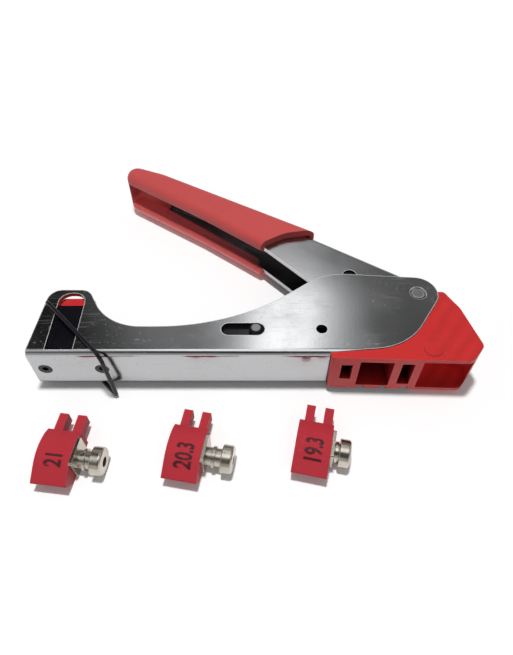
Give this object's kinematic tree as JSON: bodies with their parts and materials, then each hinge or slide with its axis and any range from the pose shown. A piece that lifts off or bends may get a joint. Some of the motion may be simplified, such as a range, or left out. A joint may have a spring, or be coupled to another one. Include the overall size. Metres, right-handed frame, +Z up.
{
  "type": "coax connector compression tool",
  "caption": "Hand tool that compresses coax connectors: a channel body with a toggle-driven slider, a pivoted handle with a wire lock, a moulded nose, and loose mandrel adapters.",
  "frame": {"origin": "main pivot axis, on the lower face of the pivot's head that the tool lies on", "axes": "+X along the body towards the nose, +Y the side that the handle opens to, +Z up across the tool's width"},
  "size_m": [0.1506, 0.1408, 0.0229],
  "materials": {
    "chromed_steel": "bright chrome plate with fine scratches",
    "bright_steel": "plain steel",
    "spring_steel": "black spring wire",
    "black_steel": "blackened steel",
    "red_plastic": "satin moulded plastic",
    "grip_plastic": "soft matt sleeve",
    "adapter_plastic": "satin moulded plastic",
    "nickel": "turned, nickel plated"
  },
  "bodies": {
    "tool_body": {"body_channel": "chromed_steel", "nose_housing": "red_plastic", "cable_cradle": "red_plastic", "clamp_saddle": "black_steel", "cradle_screws": "black_steel", "main_pivot": "bright_steel", "pivot_washer_lower": "bright_steel", "pivot_washer_upper": "bright_steel", "pivot_sleeve": "bright_steel", "return_spring": "spring_steel"},
    "handle": {"handle_channel": "chromed_steel", "handle_grip": "grip_plastic", "link_pin": "bright_steel", "link_washer_lower": "bright_steel", "link_washer_upper": "bright_steel"},
    "link": {"toggle_link_lower": "bright_steel", "toggle_link_upper": "bright_steel"},
    "slider": {"slider_block": "black_steel", "slider_pin": "bright_steel", "slider_bush_lower": "black_steel", "slider_bush_upper": "black_steel"},
    "bail": {"wire_bail": "spring_steel"},
    "adapter_21": {"adapter_21_block": "adapter_plastic", "adapter_21_plate": "nickel", "adapter_21_mandrel": "nickel"},
    "adapter_203": {"adapter_203_block": "adapter_plastic", "adapter_203_plate": "nickel", "adapter_203_mandrel": "nickel"},
    "adapter_193": {"adapter_193_block": "adapter_plastic", "adapter_193_plate": "nickel", "adapter_193_mandrel": "nickel"}
  },
  "joints": [
    {"name": "handle_pivot", "type": "hinge", "parent": "tool_body", "child": "handle", "pos_m": [0, 0, 0.0115], "axis": [0, 0, 1], "range_deg": [0, 27], "stiffness_Nm_per_rad": 0.05, "deforming": ["return_spring"]},
    {"name": "link_swing", "type": "hinge", "parent": "handle", "child": "link", "pos_m": [-0.0228, 0.0112, 0.0115], "axis": [0, 0, 1], "range_deg": [-43.88, 0]},
    {"name": "slider_travel", "type": "slide", "parent": "tool_body", "child": "slider", "axis": [1, 0, 0], "range_m": [-0.0092, 0]},
    {"name": "bail_swing", "type": "hinge", "parent": "tool_body", "child": "bail", "pos_m": [-0.1305, -0.0052, 0.0115], "axis": [0, 0, 1], "range_deg": [-259, 0]},
    {"name": "adapter_21_lift", "type": "slide", "parent": "tool_body", "child": "adapter_21", "axis": [0, 0, 1], "range_m": [0, 0.035]},
    {"name": "adapter_203_lift", "type": "slide", "parent": "tool_body", "child": "adapter_203", "axis": [0, 0, 1], "range_m": [0, 0.035]},
    {"name": "adapter_193_lift", "type": "slide", "parent": "tool_body", "child": "adapter_193", "axis": [0, 0, 1], "range_m": [0, 0.035]}
  ],
  "couplings": [
    {"joint": "link_swing", "follows": "handle_pivot", "ratio": -1.625},
    {"joint": "slider_travel", "follows": "handle_pivot", "m_per_rad": -0.019523}
  ]
}
